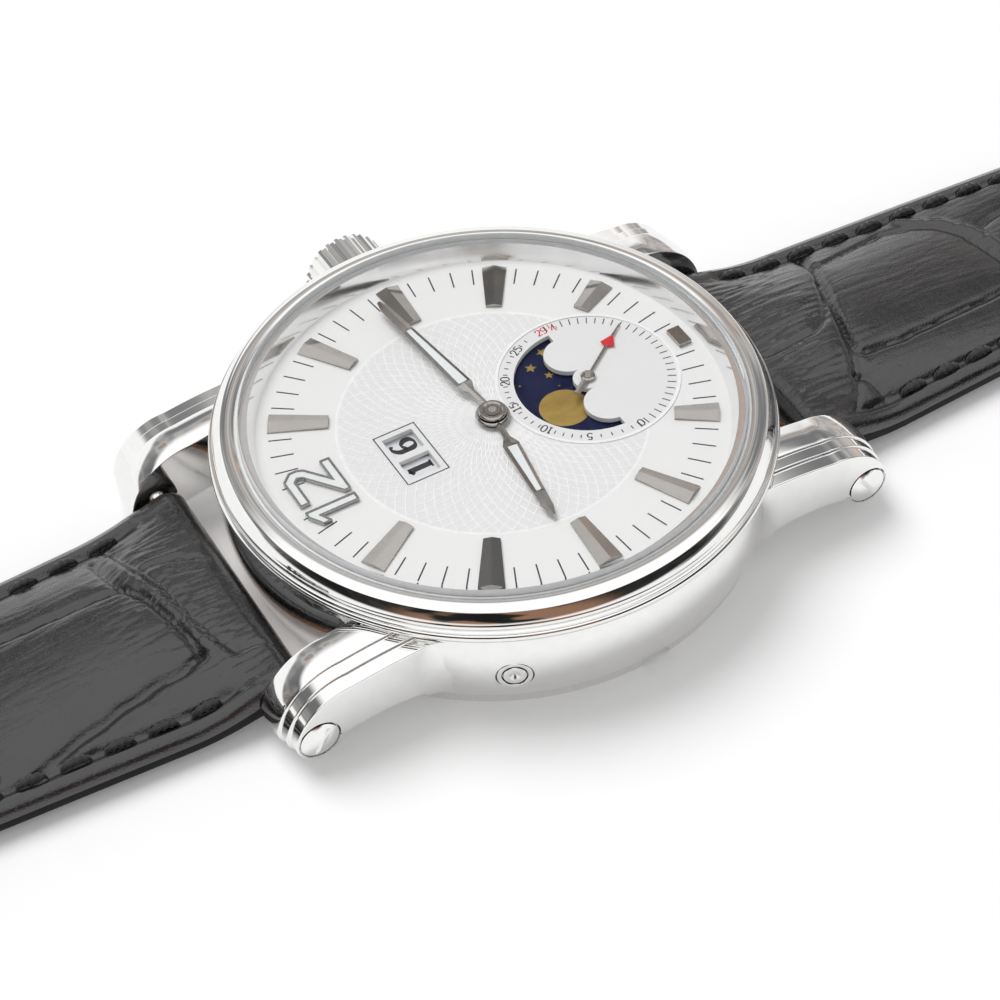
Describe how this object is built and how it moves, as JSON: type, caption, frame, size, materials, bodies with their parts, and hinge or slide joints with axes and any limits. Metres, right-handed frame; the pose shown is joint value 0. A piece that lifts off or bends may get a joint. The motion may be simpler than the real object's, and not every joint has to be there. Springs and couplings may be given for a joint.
{
  "type": "moon phase wristwatch",
  "caption": "Round dress wristwatch with a silver dial, big date, moon phase and small seconds sub-dial, curved lugs and a black scaled leather strap.",
  "frame": {"origin": "centre of the case back's flat face, on which the watch lies", "axes": "+Z out of the dial, +Y to 12 o'clock along the strap, +X to 3 o'clock and the crown"},
  "size_m": [0.0471, 0.2496, 0.0119],
  "materials": {
    "case_steel": "mirror polished stainless steel",
    "strap_leather": "black calf with large alligator scales, semi gloss",
    "crystal_glass": "clear polished",
    "seal_rubber": "matt black",
    "gasket_nylon": "translucent white",
    "dial_silver": "silver white, guilloche centre",
    "marker_steel": "polished and faceted",
    "hand_steel": "polished",
    "lume_white": "matt luminous fill",
    "moon_blue": "navy lacquer with gold moons and stars",
    "date_white": "silver with black figures",
    "movement_steel": "striped nickel plating",
    "wheel_brass": "gilt",
    "ruby": "clear red stone"
  },
  "bodies": {
    "case": {"mid_case": "case_steel", "flange_ring": "case_steel", "bezel": "case_steel", "crystal": "crystal_glass", "crystal_gasket": "gasket_nylon", "rehaut_ring": "case_steel", "case_back_ring": "case_steel", "back_glass": "crystal_glass", "back_gasket": "seal_rubber", "bar_12": "case_steel", "bar_6": "case_steel", "lug_screws": "case_steel", "dial_plate": "dial_silver", "subdial_ring": "dial_silver", "hour_markers": "marker_steel", "numeral_twelve": "marker_steel", "numeral_lume": "lume_white", "disc_posts": "movement_steel", "movement_ring": "movement_steel", "main_plate": "movement_steel", "train_bridge": "movement_steel", "barrel_bridge": "movement_steel", "balance_cock": "movement_steel", "jewels": "ruby", "bridge_screws": "movement_steel", "rotor_bearing": "movement_steel", "crown_tube": "case_steel", "corrector_tube": "case_steel"},
    "seconds": {"seconds_hand": "hand_steel", "fourth_wheel": "wheel_brass"},
    "minutes": {"minute_hand": "hand_steel", "minute_hand_lume": "lume_white", "centre_wheel": "wheel_brass", "cannon_pinion": "wheel_brass"},
    "hours": {"hour_hand": "hand_steel", "hour_hand_lume": "lume_white", "hour_wheel": "wheel_brass"},
    "third": {"third_wheel": "wheel_brass"},
    "escape": {"escape_wheel": "movement_steel"},
    "mainspring_barrel": {"barrel": "wheel_brass"},
    "pallets": {"pallet_fork": "movement_steel"},
    "balance": {"balance_wheel": "wheel_brass"},
    "moon": {"moon_disc": "moon_blue"},
    "date_units": {"date_units_disc": "date_white"},
    "date_tens": {"date_tens_disc": "date_white"},
    "winding_weight": {"rotor": "movement_steel"},
    "winding": {"winding_pinion": "movement_steel"},
    "crown_stem": {"crown": "case_steel", "stem": "movement_steel"},
    "corrector": {"corrector_pusher": "case_steel"},
    "strap_short": {"strap_12": "strap_leather", "fixed_keeper": "strap_leather", "buckle_bar": "case_steel"},
    "keeper": {"free_keeper": "strap_leather"},
    "buckle": {"buckle_frame": "case_steel"},
    "tang": {"buckle_tang": "case_steel"},
    "strap_long": {"strap_6": "strap_leather"}
  },
  "joints": [
    {"name": "escape_wheel_turn", "type": "hinge", "parent": "case", "child": "escape", "pos_m": [-0.0033, -0.0095, 0], "axis": [0, 0, -1], "continuous": true},
    {"name": "seconds_run", "type": "hinge", "parent": "case", "child": "seconds", "pos_m": [0, -0.0083, 0], "axis": [0, 0, -1], "continuous": true},
    {"name": "minute_hand_turn", "type": "hinge", "parent": "case", "child": "minutes", "pos_m": [0, 0, 0], "axis": [0, 0, -1], "continuous": true},
    {"name": "hour_hand_turn", "type": "hinge", "parent": "case", "child": "hours", "pos_m": [0, 0, 0], "axis": [0, 0, -1], "continuous": true},
    {"name": "third_wheel_turn", "type": "hinge", "parent": "case", "child": "third", "pos_m": [0.00242, -0.00467, 0], "axis": [0, 0, -1], "continuous": true},
    {"name": "barrel_turn", "type": "hinge", "parent": "case", "child": "mainspring_barrel", "pos_m": [0.0051, 0.00428, 0], "axis": [0, 0, -1], "continuous": true},
    {"name": "pallet_rock", "type": "hinge", "parent": "case", "child": "pallets", "pos_m": [-0.00527, -0.00828, 0], "axis": [0, 0, -1], "range_deg": [-5, 5]},
    {"name": "balance_swing", "type": "hinge", "parent": "case", "child": "balance", "pos_m": [-0.008, -0.0066, 0], "axis": [0, 0, -1], "range_deg": [-270, 270]},
    {"name": "moon_turn", "type": "hinge", "parent": "case", "child": "moon", "pos_m": [0, -0.0083, 0], "axis": [0, 0, -1], "continuous": true},
    {"name": "date_units_turn", "type": "hinge", "parent": "case", "child": "date_units", "pos_m": [0.0055, 0.00695, 0], "axis": [0, 0, -1], "continuous": true},
    {"name": "date_tens_turn", "type": "hinge", "parent": "case", "child": "date_tens", "pos_m": [-0.0055, 0.00695, 0], "axis": [0, 0, -1], "continuous": true},
    {"name": "rotor_spin", "type": "hinge", "parent": "case", "child": "winding_weight", "pos_m": [0, 0, 0], "axis": [0, 0, 1], "continuous": true},
    {"name": "crown_wind", "type": "hinge", "parent": "case", "child": "winding", "pos_m": [0, 0, 0.0049], "axis": [1, 0, 0], "continuous": true},
    {"name": "crown_pull", "type": "slide", "parent": "winding", "child": "crown_stem", "axis": [1, 0, 0], "range_m": [0, 0.0016]},
    {"name": "corrector_push", "type": "slide", "parent": "case", "child": "corrector", "axis": [0.8988, -0.4384, 0], "range_m": [0, 0.0004], "stiffness_N_per_m": 50},
    {"name": "strap_12_swing", "type": "hinge", "parent": "case", "child": "strap_short", "pos_m": [0, 0.0233, 0.0026], "axis": [1, 0, 0], "range_deg": [-80, 60]},
    {"name": "keeper_slide", "type": "slide", "parent": "strap_short", "child": "keeper", "axis": [0, 1, 0], "range_m": [-0.005, 0.008]},
    {"name": "buckle_swing", "type": "hinge", "parent": "strap_short", "child": "buckle", "pos_m": [0, 0.0983, 0.00255], "axis": [1, 0, 0], "range_deg": [-60, 60]},
    {"name": "tang_lift", "type": "hinge", "parent": "buckle", "child": "tang", "pos_m": [0, 0.0983, 0.00255], "axis": [1, 0, 0], "range_deg": [0, 75]},
    {"name": "strap_6_swing", "type": "hinge", "parent": "case", "child": "strap_long", "pos_m": [0, -0.0233, 0.0026], "axis": [-1, 0, 0], "range_deg": [-80, 60]}
  ],
  "couplings": [
    {"joint": "seconds_run", "follows": "escape_wheel_turn", "ratio": -0.1},
    {"joint": "third_wheel_turn", "follows": "escape_wheel_turn", "ratio": 0.013333},
    {"joint": "minute_hand_turn", "follows": "escape_wheel_turn", "ratio": -0.0016667},
    {"joint": "hour_hand_turn", "follows": "escape_wheel_turn", "ratio": -0.00013889},
    {"joint": "barrel_turn", "follows": "escape_wheel_turn", "ratio": 0.00026316}
  ]
}
